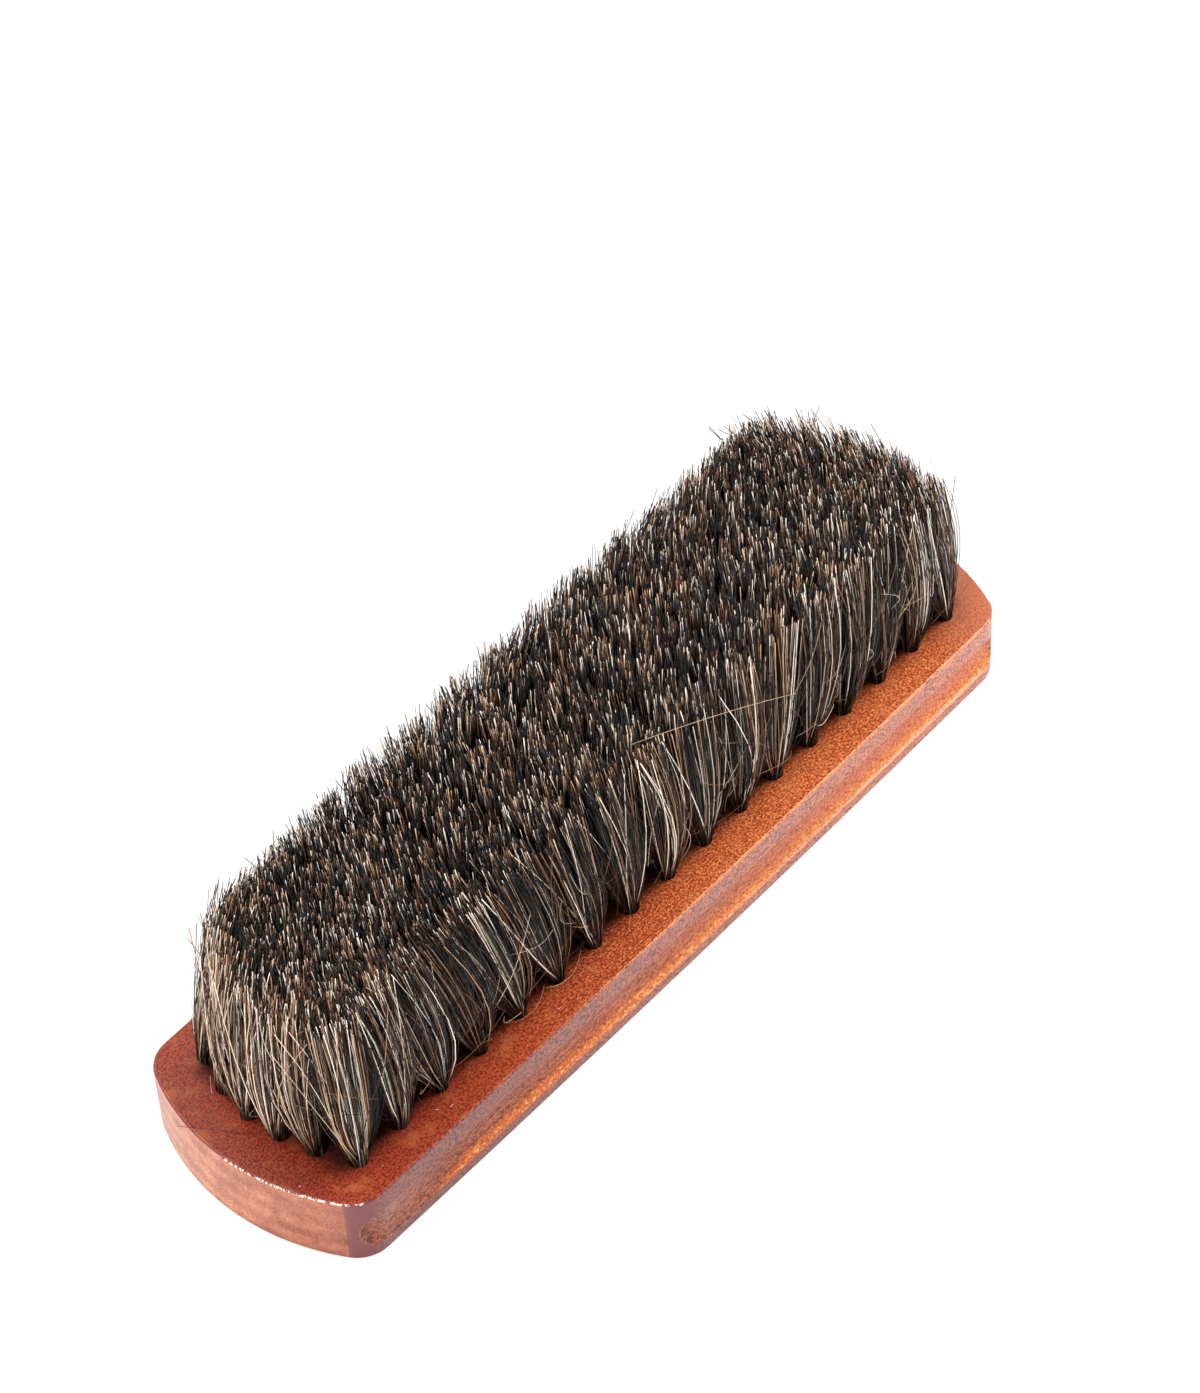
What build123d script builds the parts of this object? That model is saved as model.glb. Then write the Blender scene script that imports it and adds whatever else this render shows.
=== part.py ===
from build123d import *
import math
import os

os.makedirs("parts", exist_ok=True)

# Shoe shine brush, lying on its back with the bristles up. Sizes are in millimetres.
# The origin is the centre of the flat back. +X runs along the block, +Y across it
# and +Z out of the face that carries the bristles.

# Block of varnished hardwood
block_length = 170.0  # over the crowns of the two bowed ends
block_end_width = 45.6  # from corner to corner, before the corners are rounded
block_thickness = 13.7
end_bow = 6.85  # how far an end crowns out past its corners
side_bow = 0.55  # how far a long side swells out at mid length
corner_radius = 6.2
face_edge_radius = 0.4  # round the bristle face
back_edge_radius = 0.4  # round the back

# Finger groove along each long side, cut by a round nosed cutter
groove_cutter_radius = 4.0
groove_depth = 2.1
groove_line_height = 5.95  # middle of the groove above the back
groove_end_margin = 8.2  # from the crown of the block's end to the cutter's last centre

# Field of drilled holes
row_count = 17
column_count = 6
end_margin = 8.75  # from the crown of the block's end to the end row on the centre line
side_margin = 7.1  # from the block's corner line to the outer column
row_bow = 3.9  # how far an end row crowns out past its outer holes
hole_diameter = 3.3
hole_depth = 8.5  # down to the shoulder of the drill point
hole_side_count = 12  # flat sides in place of the round wall
drill_point_angle = 118.0

# Anchor wire, a short flat strip across the foot of each hole
anchor_thickness = 0.35
anchor_height = 1.8
anchor_end_clearance = 0.05
anchor_turn = 22.5  # degrees from the block's length

# Tufts of hair, each of four locks that share a root
hair_clearance = 0.1  # round the root in its hole
neck_height = 2.0  # the locks part this far above the wood
trim_height = 31.0  # tips above the wood
belly_height = 13.0  # widest level of an outside tuft above the wood
belly_bulge = 1.5  # how far an outside tuft leans out there
tip_sway = 0.2  # uneven lie of the tips
belly_swell_share = 1.45  # size of a lock at the belly, as a share of its root
tip_swell_share = 1.3  # size of a lock at the tip, as a share of its root
belly_spread_share = 0.19  # lock's place at the belly, as a share of the pitch
tip_spread_share = 0.22  # lock's place at the tip, as a share of the pitch
draw_in_share = 0.08  # how far the tips draw in towards the middle of the brush

# Sizes worked out from the ones above
half_length = block_length / 2
half_end_width = block_end_width / 2
corner_reach = half_length - end_bow
crown_half_width = half_end_width + side_bow
hole_radius = hole_diameter / 2
drill_point_depth = hole_radius / math.tan(math.radians(drill_point_angle / 2))
outer_column = half_end_width - side_margin
column_pitch = 2 * outer_column / (column_count - 1)
row_pitch = 2 * (half_length - end_margin) / (row_count - 1)
anchor_foot = block_thickness - hole_depth
anchor_length = hole_diameter - 2 * anchor_end_clearance
root_bottom = anchor_foot + anchor_height
root_radius = hole_radius - hair_clearance
neck_level = block_thickness + neck_height
belly_level = block_thickness + belly_height
tip_level = block_thickness + trim_height
groove_line_outset = groove_cutter_radius - groove_depth
golden_angle = math.pi * (3 - math.sqrt(5))

# A lock's outline is a quarter of an eight-sided root of radius 1, moved onto its own middle.
half_right_angle = math.pi / 4
quarter_corners = [
    (0.0, 0.0),
    (1.0, 0.0),
    (math.cos(half_right_angle), math.sin(half_right_angle)),
    (0.0, 1.0),
]
quarter_middle = sum(x for x, y in quarter_corners) / len(quarter_corners)
lock_outline = [(x - quarter_middle, y - quarter_middle) for x, y in quarter_corners]
quarter_signs = [(1, 1), (-1, 1), (-1, -1), (1, -1)]


def hole_centre(row, column):
    """Plan place of a hole: columns are straight, and rows crown out towards the ends."""
    middle_row = (row_count - 1) / 2
    row_side = (row - middle_row) / middle_row
    y = -outer_column + column * column_pitch
    reach = half_length - end_margin - row_bow * (y / outer_column) ** 2
    return row_side * reach, y


def outward(row, column):
    """Direction in which a tuft has no neighbour, or (0, 0) inside the field."""
    along = (row == row_count - 1) - (row == 0)
    across = (column == column_count - 1) - (column == 0)
    return along, across


def lock_face(level, centre, size, signs):
    """Four-sided section of a lock, level by level the same shape at another size."""
    along, across = signs
    corners = [
        (centre[0] + along * size * x, centre[1] + across * size * y)
        for x, y in lock_outline
    ]
    with BuildSketch(Plane.XY.offset(level)) as section:
        Polygon(*corners, align=None)
    return section.sketch.face()


def flat_sided(solid):
    """The same solid with true planes for faces, where a ruled loft leaves flat patches."""
    return Solid(Shell([Face(face.outer_wire()) for face in solid.faces()]))


def lock(row, column, signs):
    """One lock of a tuft, from the anchor wire up to the trimmed tips."""
    x, y = hole_centre(row, column)
    along, across = signs
    root = (x + along * quarter_middle * root_radius, y + across * quarter_middle * root_radius)
    number = (row * column_count + column) * len(quarter_signs) + quarter_signs.index(signs)
    sway_x = tip_sway * math.cos(golden_angle * number)
    sway_y = tip_sway * math.sin(golden_angle * number)
    tip = (
        x * (1 - draw_in_share) + along * tip_spread_share * row_pitch + sway_x,
        y * (1 - draw_in_share) + across * tip_spread_share * column_pitch + sway_y,
    )
    sections = [
        lock_face(root_bottom, root, root_radius, signs),
        lock_face(neck_level, root, root_radius, signs),
    ]
    out_x, out_y = outward(row, column)
    if out_x or out_y:
        belly = (
            x + out_x * belly_bulge + along * belly_spread_share * row_pitch,
            y + out_y * belly_bulge + across * belly_spread_share * column_pitch,
        )
        sections.append(lock_face(belly_level, belly, root_radius * belly_swell_share, signs))
    sections.append(lock_face(tip_level, tip, root_radius * tip_swell_share, signs))
    with BuildPart() as hair_lock:
        loft(sections=sections, ruled=True)
    return flat_sided(hair_lock.part)


def write(part, name):
    part.label = name
    export_step(part, f"parts/{name}.step")


# Drill that cuts one hole, with its mouth at the origin and its flats on the round wall
with BuildSketch(Plane.XY) as drill_mouth:
    RegularPolygon(hole_radius, hole_side_count, major_radius=False)
with BuildSketch(Plane.XY.offset(-hole_depth)) as drill_shoulder:
    RegularPolygon(hole_radius, hole_side_count, major_radius=False)
drill_point = Vertex(0, 0, -hole_depth - drill_point_depth)
with BuildPart() as drill:
    loft(sections=[drill_mouth.sketch.face(), drill_shoulder.sketch.face(), drill_point], ruled=True)
drill_body = flat_sided(drill.part)

# Wood block
with BuildPart() as wood_block:
    with BuildSketch(Plane.XY) as block_outline:
        with BuildLine():
            ThreePointArc(
                (-corner_reach, -half_end_width),
                (0, -crown_half_width),
                (corner_reach, -half_end_width),
            )
            ThreePointArc(
                (corner_reach, -half_end_width),
                (half_length, 0),
                (corner_reach, half_end_width),
            )
            ThreePointArc(
                (corner_reach, half_end_width),
                (0, crown_half_width),
                (-corner_reach, half_end_width),
            )
            ThreePointArc(
                (-corner_reach, half_end_width),
                (-half_length, 0),
                (-corner_reach, -half_end_width),
            )
        make_face()
        fillet(block_outline.vertices(), radius=corner_radius)
    extrude(amount=block_thickness)
    fillet(wood_block.faces().sort_by(Axis.Z)[-1].edges(), radius=face_edge_radius)
    fillet(wood_block.faces().sort_by(Axis.Z)[0].edges(), radius=back_edge_radius)

    # Finger grooves, at one depth along the swelling sides, with ball ends
    groove_reach = half_length - groove_end_margin
    side_arc_radius = (corner_reach**2 + side_bow**2) / (2 * side_bow)
    groove_end_drop = side_arc_radius - math.sqrt(side_arc_radius**2 - groove_reach**2)
    groove_crown = crown_half_width + groove_line_outset
    for side in (-1, 1):
        with BuildLine(Plane.XY.offset(groove_line_height)) as groove_line:
            ThreePointArc(
                (-groove_reach, side * (groove_crown - groove_end_drop)),
                (0, side * groove_crown),
                (groove_reach, side * (groove_crown - groove_end_drop)),
            )
        groove_start = Plane(origin=groove_line.line @ 0, z_dir=groove_line.line % 0)
        with BuildSketch(groove_start):
            Circle(groove_cutter_radius)
        sweep(path=groove_line.line, mode=Mode.SUBTRACT)
        with Locations(groove_line.line @ 0, groove_line.line @ 1):
            Sphere(groove_cutter_radius, mode=Mode.SUBTRACT)

    hole_mouths = [
        (*hole_centre(row, column), block_thickness)
        for row in range(row_count)
        for column in range(column_count)
    ]
    with Locations(*hole_mouths):
        add(drill_body, mode=Mode.SUBTRACT)
write(wood_block.part, "wood_block")

# Tufts and their anchor wires, one node each for every row
for row in range(row_count):
    centres = [hole_centre(row, column) for column in range(column_count)]

    with BuildPart() as anchor_row:
        with BuildSketch(Plane.XY.offset(anchor_foot)):
            with Locations(*centres):
                Rectangle(anchor_length, anchor_thickness, rotation=anchor_turn)
        extrude(amount=anchor_height)
    write(anchor_row.part, f"anchor_row_{row + 1:02d}")

    locks = [
        lock(row, column, signs) for column in range(column_count) for signs in quarter_signs
    ]
    with BuildPart() as tuft_row:
        add(locks)
    write(tuft_row.part, f"tuft_row_{row + 1:02d}")
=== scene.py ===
import math

import bpy
import numpy as np
from mathutils import Matrix, Vector
from mathutils.kdtree import KDTree


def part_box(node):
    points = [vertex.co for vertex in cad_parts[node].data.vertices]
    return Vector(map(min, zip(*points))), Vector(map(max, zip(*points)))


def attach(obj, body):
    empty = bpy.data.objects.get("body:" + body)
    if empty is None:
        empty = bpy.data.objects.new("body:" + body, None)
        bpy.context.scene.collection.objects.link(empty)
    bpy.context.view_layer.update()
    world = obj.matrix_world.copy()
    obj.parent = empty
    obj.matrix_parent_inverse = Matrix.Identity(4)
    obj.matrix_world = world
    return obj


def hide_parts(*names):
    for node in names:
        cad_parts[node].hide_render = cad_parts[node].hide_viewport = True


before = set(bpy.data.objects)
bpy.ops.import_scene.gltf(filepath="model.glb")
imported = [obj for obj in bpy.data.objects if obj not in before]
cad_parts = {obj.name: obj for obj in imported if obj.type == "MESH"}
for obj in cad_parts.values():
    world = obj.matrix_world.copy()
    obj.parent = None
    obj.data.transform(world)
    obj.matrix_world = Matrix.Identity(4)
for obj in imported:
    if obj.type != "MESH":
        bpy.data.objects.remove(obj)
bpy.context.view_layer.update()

# Shoe shine brush lying on its back on a white floor, tips up. Sizes are in metres.
mm = 0.001

# Camera, found from the outline of the block and the near row of tufts
camera_place = Vector((-335.81, -312.71, 538.99)) * mm
camera_aim = Vector((17.987, 12.946, 20.401)) * mm
camera_roll = math.radians(-3.10)
camera_lens = 112.32  # millimetres, on a sensor of 36 on the long side

# Hair
tuft_hair_count = 330
ring_sides = 3
hair_radius_low = 0.062 * mm
hair_radius_high = 0.120 * mm
tip_taper_share = 0.75
root_radius = 1.58 * mm  # the bundle of hair in its hole
root_scatter_share = 0.03  # uneven packing of the roots, as a share of that
neck_height = 0.8 * mm  # the bundle starts to open this far above the wood
belly_bulge = 1.2 * mm  # how far the outside hairs lean out
belly_least_share = 0.35  # share of it that the middle of an outside tuft has
belly_gain = 0.75  # and how much its outer edge has on top
belly_peak_share = 0.45  # where they lean out most, as a share of the free length
lean_places = [-76.0, -38.0, 17.0, 76.0]  # along the block, in millimetres
kept_widths = [0.79, 0.89, 0.94, 0.94]  # width of the tips there, as a share of the holes'
side_leans = [0.4, 1.45, 1.85, 1.9]  # how far they lie over to the far side, in millimetres
end_skew_share = 0.24  # how far the end rows' tips turn, nearest the camera outwards
outer_leans = [  # how far each row's outer tips lie over along the block, in millimetres
    4.0, 0.0, -3.2, -5.6, -6.2, -5.2, -4.2, -2.6, -0.8,
    0.5, 1.6, 3.0, 4.0, 3.6, 1.8, -2.0, -6.5,
]
inner_leans = [  # and its inner tips
    4.0, 1.5, -0.5, -1.6, -2.2, -2.0, -1.6, -1.1, -0.8,
    -0.6, -0.5, -0.4, -0.4, -0.8, -1.8, -3.8, -6.5,
]
open_power = 5.0  # above 1, a tuft opens out low down
open_delay = 1.15  # above 1, it leaves its hole straight
tip_spread_share = 0.44  # a tuft's reach at the tips, as a share of the pitch
tip_scatter = 0.65 * mm
trim_spread = 0.5 * mm  # uneven trim of the tips
trim_drop = 1.6 * mm  # how far many of the hairs end below the trim
long_hair_share = 0.022  # share of the hairs that stand above the trim
long_hair_low = 0.5 * mm
long_hair_high = 3.2 * mm
strands_in_tuft = 9  # small strands that lie together inside a tuft
strand_shift = 1.3 * mm
strand_bow = 0.6 * mm
wobble_reach = 0.60 * mm
end_wobble_factor = 1.5  # more wobble at the near end
clumps_in_tuft = 14
clump_pull_share = 0.40
bow_span_share = 0.9  # below 1, a bowed hair is still off its line at the tip
cross_share = 0.22  # share of the outside hairs that cross their neighbours
cross_reach = 4.2 * mm
cross_outwardness = 0.2  # a hair crosses only if it stands this far out in its tuft
cross_out_reach = 1.0 * mm
cross_power = 1.5  # above 1, a crossing hair swings over high up
end_cross_factor = 1.2  # more crossing at the near end
free_levels = 7  # rings from the neck to the tip
level_power = 1.4  # above 1, they stand closer together near the neck
loose_hair_count = 210  # single hairs that lie over the outside
loose_gap = 0.2 * mm
loose_radius_share = 0.50
loose_end_share = 0.30  # share of them on the near end, and the rest on the near side
loose_span_share = 0.48  # where they start, both ways from the middle, as a share of the width
loose_low_shares = (0.05, 0.55)  # height of their lower ends, as shares of the free length
loose_rise_shares = (-0.05, 0.60)  # and how far they rise from there
loose_end_run = 3.0 * mm
loose_side_run = 5.5 * mm
loose_sag = 1.5 * mm
loose_lifts = (0.2, 1.6)  # how far they bend out, in millimetres
loose_tones = (0.62, 0.94)
pale_side_share = 0.30  # how much paler the outside of the brush is
pale_end_share = 0.70  # how much paler the near end is
pale_middle_share = 0.4  # share of a side's paleness that is left at mid length
pale_reach = 1.5  # above 1, more of a tuft's outer hairs are pale
tuft_tone_spread = 0.15  # how unlike the tufts are
darkest_tone_lean = -0.3
foot_shade_share = 0.16  # painted shade: how much darker a tuft is where it leaves the wood
foot_reach_share = 0.18  # up to this share of its free length
outside_light_place = 0.45  # a hair this far in from a tuft's middle counts as hidden
outside_light_power = 0.4  # below 1, the outside light reaches well into the tuft
outside_light_share = 0.955  # how far down the outside of a tuft is painted as light as its tips

# Finger groove: the line that its round nosed cutter ran along, in millimetres
groove_cutter_radius = 4.0
groove_line_height = 5.95
groove_line_reach = 76.8  # both ways from mid length
groove_line_place = 25.25  # to the side of the middle, at mid length
groove_line_radius = 5550.0  # it bends as the long side does

random = np.random.default_rng(570)


def hole_centres(node):
    """Plan places of a row's holes, read from the short anchor wires that lie across them."""
    points = np.array([list(vertex.co) for vertex in node.data.vertices])
    points = points[np.argsort(points[:, 1])]
    strip_gap = 1 * mm
    splits = np.where(np.diff(points[:, 1]) > strip_gap)[0] + 1
    strips = np.split(points, splits)
    return [(strip.min(axis=0)[:2] + strip.max(axis=0)[:2]) / 2 for strip in strips]


block_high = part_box("wood_block")[1]
row_nodes = sorted(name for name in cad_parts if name.startswith("anchor_row_"))
row_centres = [hole_centres(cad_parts[name]) for name in row_nodes]
row_count = len(row_centres)
column_count = len(row_centres[0])
face_height = block_high.z
trim_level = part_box("tuft_row_01")[1].z
free_length = trim_level - face_height
root_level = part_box("anchor_row_01")[1].z
row_pitch = abs(row_centres[1][2][0] - row_centres[0][2][0])
column_pitch = abs(row_centres[0][1][1] - row_centres[0][0][1])


def hair_mesh(name, paths, radii, tones, depths):
    """Thin tubes along the paths. The map holds each hair's tone across and its depth upwards,
    which sets its painted shade.
    """
    count, levels = paths.shape[:2]
    along = np.gradient(paths, axis=1)
    along /= np.linalg.norm(along, axis=2, keepdims=True)
    turn = random.uniform(0, 2 * math.pi, count)
    rise = np.full(count, 0.2)  # keeps the start of a ring off its hair's own direction
    steady = np.stack([np.cos(turn), np.sin(turn), rise], axis=1)[:, None, :]
    across = np.cross(along, steady)
    across /= np.linalg.norm(across, axis=2, keepdims=True)
    other = np.cross(along, across)
    angles = np.arange(ring_sides) * 2 * math.pi / ring_sides
    ring = (
        across[:, :, None, :] * np.cos(angles)[None, None, :, None]
        + other[:, :, None, :] * np.sin(angles)[None, None, :, None]
    )
    points = paths[:, :, None, :] + ring * radii[:, :, None, None]

    first = (np.arange(count) * levels * ring_sides)[:, None, None]
    level = (np.arange(levels - 1) * ring_sides)[None, :, None]
    side = np.arange(ring_sides)[None, None, :]
    beside = (side + 1) % ring_sides
    quads = np.stack(
        [
            first + level + side,
            first + level + beside,
            first + level + ring_sides + beside,
            first + level + ring_sides + side,
        ],
        axis=-1,
    ).reshape(-1, 4)
    last = first[:, :, 0] + (levels - 1) * ring_sides
    caps = last + np.arange(ring_sides)[None, :]
    mesh = bpy.data.meshes.new(name)
    mesh.from_pydata(points.reshape(-1, 3).tolist(), [], quads.tolist() + caps.tolist())
    mesh.shade_smooth()

    map_width = 0.004  # a hair's width in the map
    map_low, map_high = 0.002, 0.998
    tone = tones[:, None, None] + (np.arange(ring_sides) * map_width)[None, None, :]
    u = np.clip(np.broadcast_to(tone, (count, levels, ring_sides)), map_low, map_high)
    v = np.clip(np.broadcast_to(depths[:, :, None], u.shape), map_low, map_high)
    corners = np.empty(len(mesh.loops), np.int32)
    mesh.loops.foreach_get("vertex_index", corners)
    pairs = np.stack([u.reshape(-1), v.reshape(-1)], axis=1)[corners]
    mesh.uv_layers.new(name="OFBake").data.foreach_set("uv", pairs.reshape(-1))
    piece = bpy.data.objects.new(name, mesh)
    bpy.context.scene.collection.objects.link(piece)
    return piece


def disc_points(count):
    """Evenly packed points in a disc of radius 1."""
    number = np.arange(count) + 0.5
    radius = np.sqrt(number / count)
    angle = number * math.pi * (3 - math.sqrt(5))
    return np.stack([radius * np.cos(angle), radius * np.sin(angle)], axis=1)


def disc_to_square(points):
    """Moves points of a disc out into the square around it."""
    x, y = points[:, 0], points[:, 1]
    radius = np.hypot(x, y)
    largest = np.maximum(np.maximum(np.abs(x), np.abs(y)), 1e-9)
    return points * (radius / largest)[:, None]


def tip_places(row, column, places):
    """Where the tips of one tuft stand before they gather in clumps."""
    centre = row_centres[row][column]
    along = centre[0] / block_high.x
    kept_width = np.interp(centre[0] / mm, lean_places, kept_widths)
    side_lean = np.interp(centre[0] / mm, lean_places, side_leans) * mm
    outer = (centre[1] / row_centres[row][0][1]) ** 2
    lean = (outer_leans[row] * outer + inner_leans[row] * (1 - outer)) * mm
    lean -= end_skew_share * along**3 * centre[1]
    middle = np.array([centre[0] + lean, centre[1] * kept_width + side_lean])
    reach = np.array([row_pitch, column_pitch]) * tip_spread_share
    tips = middle + disc_to_square(places) * reach
    return tips + random.normal(0, tip_scatter, tips.shape)


def hair_steps():
    """Levels of a hair above its neck, from 0 to 1."""
    return np.linspace(0, 1, free_levels) ** level_power


def gather(tips):
    """Draws tips of neighbouring tufts alike into small clumps over the whole field."""
    count = len(tips)
    clumps = tips[random.choice(count, clumps_in_tuft * row_count * column_count, replace=False)]
    tree = KDTree(len(clumps))
    for number, clump in enumerate(clumps):
        tree.insert((*clump, 0), number)
    tree.balance()
    nearest = np.array([tree.find((*tip, 0))[0][:2] for tip in tips])
    pull = clump_pull_share * random.uniform(0.2, 1, (count, 1))
    return tips + (nearest - tips) * pull


def outward(row, column):
    """Direction in which a tuft has no neighbour, or (0, 0) inside the field."""
    return np.array(
        [
            float(row == row_count - 1) - float(row == 0),
            float(column == column_count - 1) - float(column == 0),
        ]
    )


def tuft_paths(row, column, places, tips):
    """Centre lines of one tuft's hairs, from the anchor wire to the trimmed tips."""
    centre = row_centres[row][column]
    out = outward(row, column)
    out /= max(1.0, np.hypot(*out))
    count = tuft_hair_count
    length = free_length + random.normal(0, trim_spread, count)
    length -= np.abs(random.normal(0, trim_drop, count))
    long = random.random(count) < long_hair_share
    length += long * random.uniform(long_hair_low, long_hair_high, count)

    outwardness = np.clip(places @ out, 0, None) if out.any() else np.zeros(count)
    bulge = (belly_least_share + belly_gain * outwardness)[:, None] * out * belly_bulge
    roots = centre + places * root_radius
    seeds = places[random.choice(count, strands_in_tuft, replace=False)]
    strand = np.argmin(np.linalg.norm(places[:, None] - seeds[None], axis=2), axis=1)
    shift = random.normal(0, strand_shift, (strands_in_tuft, 2))[strand]
    bow = random.normal(0, strand_bow, (strands_in_tuft, 2))[strand]
    turn = random.uniform(0, 2 * math.pi, count)
    wobble = np.stack([np.cos(turn), np.sin(turn)], axis=1)
    end_wobble = end_wobble_factor if row == 0 else 1
    wobble *= wobble_reach * random.uniform(0.1, 1, (count, 1)) * end_wobble
    crossing_share = cross_share * (end_cross_factor if row == 0 else 1)
    crossing = (random.random(count) < crossing_share) & (outwardness > cross_outwardness)
    sideways = np.array([-out[1], out[0]])
    swing = np.clip(random.normal(0, cross_reach, (count, 1)), -2 * cross_reach, 2 * cross_reach)
    swing = crossing[:, None] * sideways * swing
    reach_out = crossing[:, None] * out * random.uniform(0, cross_out_reach, (count, 1))

    neck_share = neck_height / free_length
    steps = np.concatenate([[0.0], hair_steps()])
    tip_middle = tips.mean(axis=0)
    spread = tips - tip_middle - places * root_radius
    spread_out = (spread @ out)[:, None] * out
    paths = np.empty((count, len(steps), 3))
    for number, step in enumerate(steps):
        if number == 0:
            paths[:, 0, :2] = roots
            paths[:, 0, 2] = root_level
            continue
        share = neck_share + (1 - neck_share) * step
        opened = 1 - (1 - step**open_delay) ** open_power
        lean = math.sin(math.pi * step ** (math.log(0.5) / math.log(belly_peak_share)))
        paths[:, number, :2] = (
            roots
            + (spread - spread_out) * opened
            + spread_out * step
            + (tip_middle - centre) * step
            + bulge * lean
            + (wobble + bow + reach_out) * math.sin(math.pi * step * bow_span_share)
            + shift * step * (1 - step) * 2
            + swing * step**cross_power
        )
        paths[:, number, 2] = face_height + share * length
    return paths


def tuft_tones(row, column, places):
    """Where each hair lies between black and cream. The outside of the brush is paler."""
    out = outward(row, column)
    outside = np.clip(pale_reach * places @ out, 0, 1) if out.any() else np.zeros(len(places))
    endward = abs(2 * row / (row_count - 1) - 1)
    pale = pale_side_share * (pale_middle_share + endward**2)
    if row == 0:
        pale = pale_end_share
    lean = random.normal(0, tuft_tone_spread) + 2 * pale * outside
    return random.random(tuft_hair_count) ** (1 / (1 + np.clip(lean, darkest_tone_lean, None)))


def tuft_depths(row, column, places):
    """Height in the map, which sets each hair's painted shade: 0 is deep between the tufts and
    darkest, 1 is a tip or the outside of the brush, painted as lit. The foot of a tuft is painted
    darker too.
    """
    out = outward(row, column)
    outside = np.zeros(len(places))
    if out.any():
        outside = np.clip(places @ out + outside_light_place, 0, 1) ** outside_light_power
    along = np.concatenate([[0.0], hair_steps()])[None, :]
    foot = 1 - foot_shade_share * np.clip(1 - along / foot_reach_share, 0, 1)
    return (along + (1 - along) * outside[:, None] * outside_light_share) * foot


def loose_paths(count, levels):
    """Single hairs that lie loose over the outside of the near side and the near end."""
    on_end = random.random(count) < loose_end_share
    side_width, end_width = 2 * row_centres[0][-1][0], 2 * row_centres[0][-1][1]
    start = np.where(on_end, end_width, side_width)
    start = start * random.uniform(-loose_span_share, loose_span_share, count)
    low = face_height + random.uniform(*loose_low_shares, count) * free_length
    run = np.where(on_end, loose_end_run, loose_side_run) * random.normal(0, 1, count)
    rise = random.uniform(*loose_rise_shares, count) * free_length
    sag = random.normal(0, loose_sag, count)
    lift = random.uniform(*loose_lifts, count) * mm
    paths = np.empty((count, levels, 3))
    for number, step in enumerate(np.linspace(0, 1, levels)):
        bend = math.sin(math.pi * step)
        along = start + run * step + sag * bend
        height = np.minimum(low + rise * step, trim_level)
        rest = loose_gap + lift * bend
        side_y = row_centres[0][0][1] - root_radius - rest
        row_crown = row_centres[0][0][0] - row_centres[0][2][0]
        end_bow = (along / row_centres[0][0][1]) ** 2 * row_crown
        end_x = row_centres[0][2][0] + end_bow - root_radius - rest
        paths[:, number, 0] = np.where(on_end, end_x, along)
        paths[:, number, 1] = np.where(on_end, along, side_y)
        paths[:, number, 2] = height
    return paths


def smooth_line(points, levels):
    """A curved line through three points."""
    low, middle, high = (np.array(point) * mm for point in points)
    bend = 2 * middle - (low + high) / 2
    steps = np.linspace(0, 1, levels)[:, None]
    return low * (1 - steps) ** 2 + bend * 2 * steps * (1 - steps) + high * steps**2


def hair_radii(count, levels):
    thickness = random.uniform(hair_radius_low, hair_radius_high, (count, 1))
    taper = np.linspace(1, tip_taper_share, levels)[None, :]
    return thickness * taper


tufts = [(row, column) for row in range(row_count) for column in range(column_count)]
root_places = [
    disc_points(tuft_hair_count) + random.normal(0, root_scatter_share, (tuft_hair_count, 2))
    for tuft in tufts
]
tips = gather(np.concatenate([tip_places(*tuft, at) for tuft, at in zip(tufts, root_places)]))
tips = tips.reshape(len(tufts), tuft_hair_count, 2)
hair_pieces = []
for row in range(row_count):
    numbers = range(row * column_count, (row + 1) * column_count)
    paths = np.concatenate([tuft_paths(*tufts[n], root_places[n], tips[n]) for n in numbers])
    count, levels = paths.shape[:2]
    tones = np.concatenate([tuft_tones(*tufts[n], root_places[n]) for n in numbers])
    depths = np.concatenate([tuft_depths(*tufts[n], root_places[n]) for n in numbers])
    name = f"hair_row_{row + 1:02d}"
    piece = hair_mesh(name, paths, hair_radii(count, levels), tones, depths)
    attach(piece, "root")
    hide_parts(f"tuft_row_{row + 1:02d}")
    hair_pieces.append(piece)

# Loose hairs and dust. Places are in millimetres, and a tone runs from 0, black, to 1, cream.
stray_hairs = [
    ((-3.3, -12.4, 44.5), (12.0, -17.5, 41.8), (28.5, -19.5, 34.0), 0.90),
    ((-85.5, 9.5, 14.6), (-81.0, 3.0, 14.1), (-77.2, -3.2, 14.0), 0.60),
    ((-12.0, -17.0, 14.1), (-13.4, -20.0, 14.1), (-14.5, -23.3, 14.0), 0.80),
    ((10.0, -17.0, 14.1), (16.0, -18.7, 14.3), (22.0, -21.0, 14.0), 0.84),
    ((-50.0, -13.0, 15.5), (-48.0, -15.8, 14.6), (-46.0, -18.0, 14.1), 0.70),
    ((-77.6, 9.6, 14.6), (-76.8, 10.6, 15.0), (-76.0, 11.3, 16.0), 0.90),
    ((-30.0, -16.5, 14.4), (-26.5, -18.3, 14.8), (-22.5, -17.4, 17.0), 0.90),
    ((-39.0, -16.4, 14.3), (-35.0, -18.2, 14.7), (-31.0, -17.2, 16.6), 0.88),
    ((-58.2, -18.6, 13.8), (-58.0, -18.8, 13.8), (-57.8, -19.0, 13.8), 1.00),
    ((-56.4, -20.0, 13.8), (-56.0, -20.0, 13.8), (-55.5, -20.1, 13.8), 1.00),
    ((-31.8, -20.4, 13.8), (-31.5, -20.5, 13.8), (-31.2, -20.6, 13.8), 1.00),
    ((-71.1, -19.4, 13.8), (-71.0, -19.5, 13.8), (-70.8, -19.5, 13.8), 0.95),
]
paths = [loose_paths(loose_hair_count, free_levels + 1)]
paths += [smooth_line(hair[:3], free_levels + 1)[None] for hair in stray_hairs]
paths = np.concatenate(paths)
tones = random.uniform(*loose_tones, loose_hair_count)
tones = np.concatenate([tones, [hair[3] for hair in stray_hairs]])
radii = hair_radii(len(paths), free_levels + 1) * loose_radius_share
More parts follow.
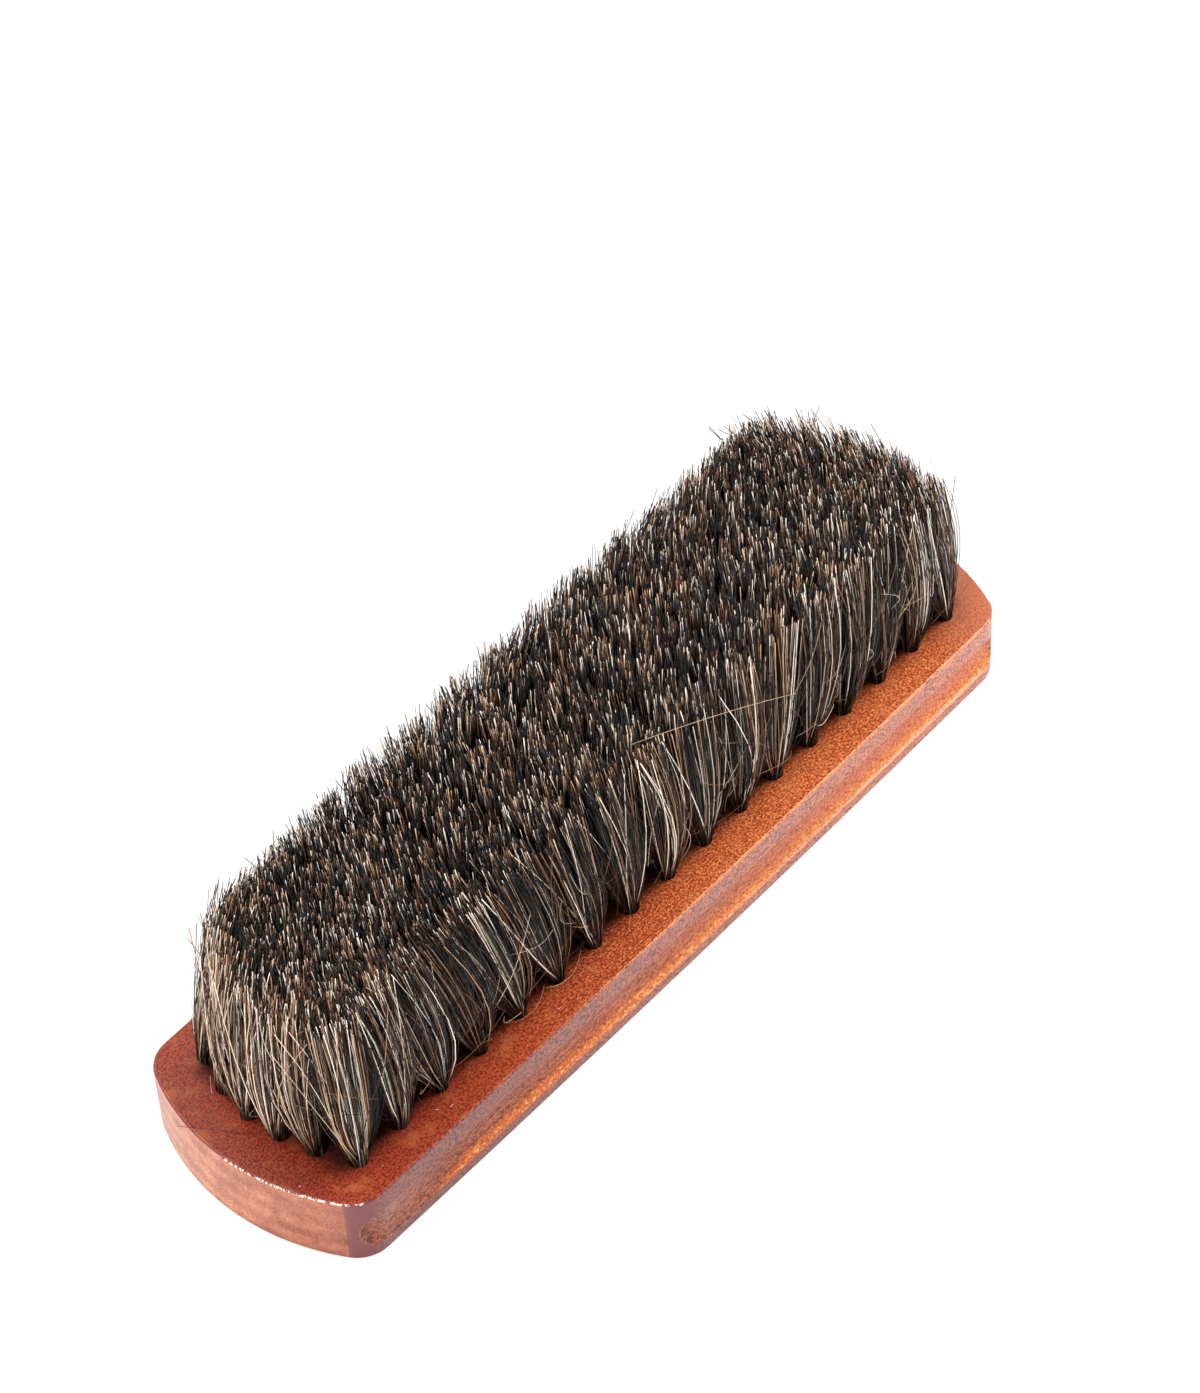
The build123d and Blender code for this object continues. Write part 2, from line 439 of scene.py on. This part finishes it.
strays = hair_mesh("stray_hairs", paths, radii, tones, np.ones(paths.shape[:2]))
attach(strays, "root")
hair_pieces.append(strays)


def new_material(name):
    material = bpy.data.materials.new(name)
    material.use_nodes = True
    material.node_tree.nodes.clear()
    return material, material.node_tree


def add_node(tree, kind, settings=None, **inputs):
    """A node with its settings and inputs. An input is a constant or another node's socket."""
    node = tree.nodes.new(kind)
    for key, value in (settings or {}).items():
        setattr(node, key, value)
    for key, value in inputs.items():
        socket = node.inputs[int(key[1:])] if key[0] == "i" and key[1:].isdigit() else None
        if socket is None:
            socket = node.inputs[key.replace("_", " ")]
        if isinstance(value, bpy.types.NodeSocket):
            tree.links.new(value, socket)
        else:
            socket.default_value = value
    return node


def math_node(tree, operation, *values):
    inputs = {f"i{number}": value for number, value in enumerate(values)}
    return add_node(tree, "ShaderNodeMath", {"operation": operation}, **inputs).outputs[0]


def mix_colour(tree, share, first, second, blend="MIX"):
    settings = {"data_type": "RGBA", "blend_type": blend}
    return add_node(tree, "ShaderNodeMix", settings, i0=share, i6=first, i7=second).outputs[2]


def smooth_range(tree, value, low, high):
    """0 below low, 1 above high and a smooth step between them."""
    settings = {"interpolation_type": "SMOOTHSTEP"}
    return add_node(
        tree, "ShaderNodeMapRange", settings, i0=value, i1=low, i2=high
    ).outputs[0]


def colour_ramp(tree, share, stops):
    node = add_node(tree, "ShaderNodeValToRGB", i0=share)
    ramp = node.color_ramp
    while len(ramp.elements) > 1:
        ramp.elements.remove(ramp.elements[-1])
    ramp.elements[0].position = stops[0][0]
    ramp.elements[0].color = (*stops[0][1], 1)
    for position, colour in stops[1:]:
        ramp.elements.new(position).color = (*colour, 1)
    return node.outputs[0]


# Horsehair: a mix of black, brown, chestnut and pale hair
def horsehair_material():
    material, tree = new_material("horsehair")
    spot = add_node(tree, "ShaderNodeUVMap", {"uv_map": "OFBake"}).outputs[0]
    parts = add_node(tree, "ShaderNodeSeparateXYZ", i0=spot)
    tone, along = parts.outputs[0], parts.outputs[1]
    hue = colour_ramp(
        tree,
        tone,
        [
            (0.00, (0.002, 0.002, 0.002)),
            (0.60, (0.004, 0.004, 0.004)),
            (0.69, (0.014, 0.008, 0.005)),
            (0.76, (0.070, 0.028, 0.013)),
            (0.82, (0.240, 0.090, 0.035)),
            (0.87, (0.460, 0.230, 0.110)),
            (0.91, (0.740, 0.500, 0.320)),
            (0.95, (0.920, 0.790, 0.640)),
            (1.00, (0.950, 0.900, 0.820)),
        ],
    )
    # Painted shade: a hair is darker the deeper it lies between the tufts
    shade = smooth_range(tree, along, 0.79, 0.99)
    deep_light = 0.12  # painted shade: what is left of the colour deep between the tufts
    depth = math_node(tree, "MULTIPLY_ADD", shade, 1 - deep_light, deep_light)
    darkened = add_node(tree, "ShaderNodeVectorMath", {"operation": "SCALE"}, i0=hue, i3=depth)
    shader = add_node(
        tree,
        "ShaderNodeBsdfPrincipled",
        Base_Color=darkened.outputs[0],
        Roughness=0.36,
        Specular_IOR_Level=0.30,
    )
    add_node(tree, "ShaderNodeOutputMaterial", Surface=shader.outputs[0])
    return material


# Varnished wood: stained face, paler end grain, pores along the routed groove
def wood_material():
    material, tree = new_material("varnished_wood")
    place = add_node(tree, "ShaderNodeTexCoord").outputs["Object"]
    in_mm = add_node(tree, "ShaderNodeVectorMath", {"operation": "SCALE"}, i0=place, i3=1 / mm)
    spot = in_mm.outputs[0]
    parts = add_node(tree, "ShaderNodeSeparateXYZ", i0=spot)
    height = parts.outputs[2]
    facing = add_node(tree, "ShaderNodeNewGeometry").outputs["Normal"]
    turns = add_node(tree, "ShaderNodeSeparateXYZ", i0=facing)
    up = turns.outputs[2]

    def noise(scale, detail=2.0, stretch=(1, 1, 1), rough=0.5, shift=(0, 0, 0)):
        moved = add_node(
            tree,
            "ShaderNodeVectorMath",
            {"operation": "MULTIPLY_ADD"},
            i0=spot,
            i1=stretch,
            i2=shift,
        ).outputs[0]
        return add_node(
            tree,
            "ShaderNodeTexNoise",
            Vector=moved,
            Scale=scale,
            Detail=detail,
            Roughness=rough,
        ).outputs[0]

    def inverse(value):
        return math_node(tree, "SUBTRACT", 1.0, value)

    def both(first, second):
        return math_node(tree, "MULTIPLY", first, second)

    x, y = parts.outputs[0], parts.outputs[1]
    far_out = math_node(tree, "ABSOLUTE", x)
    sideways = math_node(tree, "ABSOLUTE", turns.outputs[0])

    # Stain on the broad faces, with fine dark speckle along the grain. It is darker at the near
    # end, partly the stain and partly painted shade of the tufts
    broad = noise(0.022, 3.0, (0.5, 1.2, 1))
    stain_and_shade = math_node(tree, "MULTIPLY_ADD", smooth_range(tree, x, -95, 50), 0.7, both(broad, 0.4))
    face_colour = colour_ramp(
        tree,
        stain_and_shade,
        [
            (0.15, (0.310, 0.040, 0.016)),
            (0.50, (0.450, 0.076, 0.023)),
            (0.90, (0.610, 0.142, 0.042)),
        ],
    )
    mottle = noise(3.2, 3.0, (0.7, 1, 1), 0.68)
    network = smooth_range(tree, mottle, 0.46, 0.56)
    face_colour = mix_colour(tree, network, face_colour, (0.40, 0.27, 0.22, 1), "MULTIPLY")
    flecks = inverse(smooth_range(tree, mottle, 0.36, 0.45))
    bright = both(smooth_range(tree, x, -55, 0), inverse(smooth_range(tree, x, 60, 76)))
    face_colour = mix_colour(tree, both(flecks, bright), face_colour, (0.80, 0.28, 0.075, 1))
    patches = smooth_range(tree, noise(0.28, 3.0), 0.52, 0.72)
    face_colour = mix_colour(tree, both(patches, 0.30), face_colour, (0.55, 0.19, 0.06, 1))
    far_end = both(smooth_range(tree, x, 62, 84), 0.7)
    face_colour = mix_colour(tree, far_end, face_colour, (0.40, 0.135, 0.075, 1))
    bristle_face = smooth_range(tree, height, 8, 12)
    # Painted shade of the tufts on the face beside them, less towards the far end
    hair_shade_mask = inverse(smooth_range(tree, math_node(tree, "ABSOLUTE", y), 15.5, 20.5))
    hair_shade_mask = both(hair_shade_mask, bristle_face)
    hair_shade_mask = both(hair_shade_mask, inverse(both(smooth_range(tree, far_out, 73, 79), 0.75)))
    hair_shade = (0.35, 0.22, 0.20, 1)
    face_colour = mix_colour(tree, both(hair_shade_mask, 0.6), face_colour, hair_shade, "MULTIPLY")
    # Painted shade on the face under the hair field, between the tufts; the same mask dulls the
    # varnish there
    shade_and_dull_under_hair = inverse(smooth_range(tree, math_node(tree, "ABSOLUTE", y), 14.5, 17.0))
    shade_and_dull_under_hair = both(shade_and_dull_under_hair, inverse(smooth_range(tree, far_out, 73, 78)))
    shade_and_dull_under_hair = both(shade_and_dull_under_hair, bristle_face)
    face_colour = mix_colour(tree, shade_and_dull_under_hair, face_colour, (0.22, 0.16, 0.15, 1), "MULTIPLY")

    # End grain: blotches, faint growth lines and speckle, darker towards the near corner
    wave_settings = {"wave_type": "BANDS", "bands_direction": "Z"}
    rings = add_node(
        tree,
        "ShaderNodeTexWave",
        wave_settings,
        Vector=spot,
        Scale=0.085,
        Distortion=6.0,
        Detail=3.0,
        Detail_Scale=0.25,
    ).outputs[1]
    blotch = noise(0.30, 4.0, shift=(3, 7, 1), rough=0.6)
    speckle = noise(2.4, 4.0, rough=0.75)
    end_mix = math_node(tree, "MULTIPLY_ADD", rings, 0.06, both(blotch, 0.42))
    end_mix = math_node(tree, "MULTIPLY_ADD", speckle, 0.60, end_mix)
    end_colour = colour_ramp(
        tree,
        end_mix,
        [
            (0.42, (0.230, 0.062, 0.028)),
            (0.56, (0.430, 0.140, 0.068)),
            (0.70, (0.620, 0.270, 0.150)),
        ],
    )
    shade = both(inverse(smooth_range(tree, y, -20, 8)), 0.8)
    end_colour = mix_colour(tree, shade, end_colour, (0.70, 0.60, 0.56, 1), "MULTIPLY")

    # Long sides: dull red bands, their pinkish tone partly a painted reflection of the white
    # surround; smooth and dark round the near corners
    farther = smooth_range(tree, x, -80, 60)
    band_colour = mix_colour(tree, farther, (0.240, 0.062, 0.046, 1), (0.560, 0.190, 0.112, 1))
    band_speckle = both(network, smooth_range(tree, x, -82, -74))
    band_colour = mix_colour(tree, band_speckle, band_colour, (0.32, 0.24, 0.23, 1), "MULTIPLY")
    rounding = smooth_range(tree, sideways, 0.10, 0.45)
    near_half = inverse(smooth_range(tree, x, -60, 0))
    rounding = both(rounding, near_half)
    band_colour = mix_colour(tree, rounding, band_colour, (0.150, 0.026, 0.028, 1))

    # Finger grooves: brown with dark pores; the upward-facing lower edge is painted orange with
    # golden glints, a painted highlight
    past_line = math_node(tree, "SUBTRACT", far_out, groove_line_reach)
    beyond = math_node(tree, "MAXIMUM", past_line, 0.0)
    bend = both(both(x, x), -0.5 / groove_line_radius)
    line_place = math_node(tree, "ADD", bend, groove_line_place)
    inward = math_node(tree, "SUBTRACT", line_place, math_node(tree, "ABSOLUTE", y))
    level = math_node(tree, "SUBTRACT", height, groove_line_height)
    squares = math_node(tree, "ADD", both(inward, inward), both(level, level))
    from_line = math_node(tree, "SQRT", math_node(tree, "ADD", squares, both(beyond, beyond)))
    edge_low, edge_high = groove_cutter_radius + 0.04, groove_cutter_radius + 0.22
    in_groove = inverse(smooth_range(tree, from_line, edge_low, edge_high))
    pores = noise(1.5, 3.0, (0.7, 1.6, 1.6), 0.7)
    pore_floor = math_node(tree, "MULTIPLY_ADD", farther, 0.10, 0.48)
    pore_top = math_node(tree, "ADD", pore_floor, 0.12)
    pore_mask = both(smooth_range(tree, pores, pore_floor, pore_top), 0.80)
    streaks = noise(1.0, 4.0, (0.10, 5.0, 5.0), 0.7, (0, 5, 2))
    streak_mask = smooth_range(tree, streaks, 0.38, 0.66)
    cove_low = mix_colour(tree, farther, (0.300, 0.070, 0.036, 1), (0.580, 0.180, 0.080, 1))
    cove_high = mix_colour(tree, farther, (0.440, 0.150, 0.085, 1), (0.640, 0.215, 0.100, 1))
    cove_colour = mix_colour(tree, streak_mask, cove_low, cove_high)
    # Painted highlight: orange where the groove's lower edge faces up, with golden glints, away
    # from the near end
    painted_lip_highlight = both(smooth_range(tree, up, 0.56, 0.80), smooth_range(tree, x, -78, -66))
    lip_highlight_low = mix_colour(tree, farther, (0.480, 0.090, 0.016, 1), (0.540, 0.165, 0.045, 1))
    lip_highlight_high = mix_colour(tree, farther, (0.680, 0.170, 0.022, 1), (0.680, 0.260, 0.065, 1))
    lip_highlight_colour = mix_colour(tree, streak_mask, lip_highlight_low, lip_highlight_high)
    groove_colour = mix_colour(tree, painted_lip_highlight, cove_colour, lip_highlight_colour)
    painted_gold_glints = both(smooth_range(tree, noise(2.2, 3.0, (0.5, 1, 1), 0.7), 0.50, 0.62), painted_lip_highlight)
    groove_colour = mix_colour(tree, both(painted_gold_glints, 0.8), groove_colour, (0.90, 0.42, 0.10, 1))
    groove_colour = mix_colour(tree, network, groove_colour, (0.66, 0.50, 0.42, 1), "MULTIPLY")
    pore_share = both(pore_mask, inverse(both(painted_lip_highlight, 0.75)))
    groove_colour = mix_colour(tree, pore_share, groove_colour, (0.060, 0.016, 0.010, 1))
    side_colour = mix_colour(tree, in_groove, band_colour, groove_colour)

    endward = smooth_range(tree, sideways, 0.80, 0.93)
    upward = smooth_range(tree, math_node(tree, "ABSOLUTE", up), 0.72, 0.92)
    broad_face = both(upward, inverse(in_groove))
    colour = mix_colour(tree, endward, side_colour, end_colour)
    colour = mix_colour(tree, broad_face, colour, face_colour)

    # Rim of the bristle face: a thin golden line, a painted highlight of the varnish, and white
    # flecks along its edge, most on the ends
    edge = inverse(smooth_range(tree, up, 0.93, 0.99))
    rim = both(smooth_range(tree, height, 13.10, 13.35), edge)
    # Painted highlight: a broken golden line on the rounded rim of the long sides, from mid length
    # on
    highlight_span = both(smooth_range(tree, x, -40, 0), inverse(smooth_range(tree, sideways, 0.2, 0.5)))
    broken = smooth_range(tree, noise(0.7, 3.0, shift=(9, 2, 4)), 0.36, 0.52)
    rim_highlight = both(both(rim, highlight_span), broken)
    colour = mix_colour(tree, both(rim_highlight, 0.50), colour, (0.74, 0.30, 0.09, 1))
    # White flecks along the rim's top edge, most on the ends towards the near side
    fleck_noise = noise(1.3, 3.0, shift=(1, 8, 5), rough=0.7)
    endish = both(smooth_range(tree, sideways, 0.25, 0.5), inverse(smooth_range(tree, y, -1, 6)))
    fleck_floor = math_node(tree, "MULTIPLY_ADD", endish, -0.20, 0.70)
    fleck_top = math_node(tree, "ADD", fleck_floor, 0.04)
    corner_line = smooth_range(tree, height, 13.28, 13.40)
    corner_line = both(corner_line, inverse(smooth_range(tree, up, 0.80, 0.90)))
    rim_flecks = both(corner_line, smooth_range(tree, fleck_noise, fleck_floor, fleck_top))
    dust = smooth_range(tree, noise(1.5, 2.0, shift=(4, 4, 4)), 0.79, 0.82)
    white = math_node(tree, "MAXIMUM", rim_flecks, both(dust, broad_face))
    colour = mix_colour(tree, both(white, 0.85), colour, (0.86, 0.78, 0.70, 1))

    grain = math_node(tree, "SUBTRACT", both(mottle, 0.7), both(pore_mask, 0.6))
    bump = add_node(
        tree, "ShaderNodeBump", Strength=0.5, Distance=0.06 * mm, Height=grain
    ).outputs[0]
    # The varnish is thin and dull between the tufts, where no hand rubs it
    dullness = both(shade_and_dull_under_hair, broad_face)
    roughness = math_node(tree, "MULTIPLY_ADD", dullness, 0.45, 0.42)  # from 0.42 to 0.87
    varnish = math_node(tree, "MULTIPLY_ADD", dullness, -0.28, 0.30)  # from 0.30 to 0.02
    shader = add_node(
        tree,
        "ShaderNodeBsdfPrincipled",
        Base_Color=colour,
        Roughness=roughness,
        Specular_IOR_Level=0.25,
        Coat_Weight=varnish,
        Coat_Roughness=0.16,
        Normal=bump,
    )
    add_node(tree, "ShaderNodeOutputMaterial", Surface=shader.outputs[0])
    return material


# Anchor wire: plain drawn steel
def wire_material():
    material, tree = new_material("anchor_wire")
    shader = add_node(
        tree,
        "ShaderNodeBsdfPrincipled",
        Base_Color=(0.55, 0.55, 0.56, 1),
        Metallic=1.0,
        Roughness=0.35,
    )
    add_node(tree, "ShaderNodeOutputMaterial", Surface=shader.outputs[0])
    return material


def dress(piece, material):
    piece.data.materials.clear()
    piece.data.materials.append(material)


horsehair = horsehair_material()
for piece in hair_pieces:
    dress(piece, horsehair)
dress(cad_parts["wood_block"], wood_material())
wire = wire_material()
for name in row_nodes:
    dress(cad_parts[name], wire)

# White floor that keeps a faint shadow, and a white surround
floor_reach = 3.0
floor_height = 0.05 * mm  # just above the flat back, which then shows from below
floor_glow_share = 0.72
floor_mesh = bpy.data.meshes.new("floor")
floor_mesh.from_pydata(
    [
        (-floor_reach, -floor_reach, floor_height),
        (floor_reach, -floor_reach, floor_height),
        (floor_reach, floor_reach, floor_height),
        (-floor_reach, floor_reach, floor_height),
    ],
    [],
    [(0, 1, 2, 3)],
)
floor = bpy.data.objects.new("floor", floor_mesh)
bpy.context.scene.collection.objects.link(floor)
floor_material, tree = new_material("white_floor")
matt = add_node(tree, "ShaderNodeBsdfDiffuse", Color=(0.9, 0.9, 0.9, 1))
glow = add_node(tree, "ShaderNodeEmission", Color=(1, 1, 1, 1), Strength=1.0)
seen = add_node(tree, "ShaderNodeLightPath").outputs["Is Camera Ray"]
share = math_node(tree, "MULTIPLY", seen, floor_glow_share)
mixed = add_node(tree, "ShaderNodeMixShader", i0=share, i1=matt.outputs[0], i2=glow.outputs[0])
add_node(tree, "ShaderNodeOutputMaterial", Surface=mixed.outputs[0])
dress(floor, floor_material)

world = bpy.data.worlds.new("surround")
bpy.context.scene.world = world
world.use_nodes = True
tree = world.node_tree
tree.nodes.clear()
soft = add_node(tree, "ShaderNodeBackground", Color=(1, 1, 1, 1), Strength=0.55)
white = add_node(tree, "ShaderNodeBackground", Color=(1, 1, 1, 1), Strength=1.0)
seen = add_node(tree, "ShaderNodeLightPath").outputs["Is Camera Ray"]
mixed = add_node(tree, "ShaderNodeMixShader", i0=seen, i1=soft.outputs[0], i2=white.outputs[0])
add_node(tree, "ShaderNodeOutputWorld", Surface=mixed.outputs[0])


# Soft studio lights
def softbox(name, place, width, power):
    light = bpy.data.lights.new(name, "AREA")
    light.shape = "SQUARE"
    light.size = width
    light.energy = power
    lamp = bpy.data.objects.new(name, light)
    lamp.location = place
    lamp.rotation_euler = (-Vector(place)).to_track_quat("-Z", "Y").to_euler()
    bpy.context.scene.collection.objects.link(lamp)


softbox("back", (-0.10, 0.55, 0.95), 0.7, 8)
softbox("right_key", (0.46, -0.24, 0.50), 0.34, 5.0)
softbox("near_fill", (-0.85, -0.10, 0.55), 0.6, 8)

# Camera
camera_data = bpy.data.cameras.new("camera")
camera_data.sensor_width = 36
camera_data.lens = camera_lens
camera_data.clip_start = 0.01
camera = bpy.data.objects.new("camera", camera_data)
bpy.context.scene.collection.objects.link(camera)
look = (camera_aim - camera_place).to_track_quat("-Z", "Y").to_matrix().to_4x4()
camera.matrix_world = Matrix.Translation(camera_place) @ look @ Matrix.Rotation(camera_roll, 4, "Z")
bpy.context.scene.camera = camera
bpy.context.scene.view_settings.view_transform = "Standard"
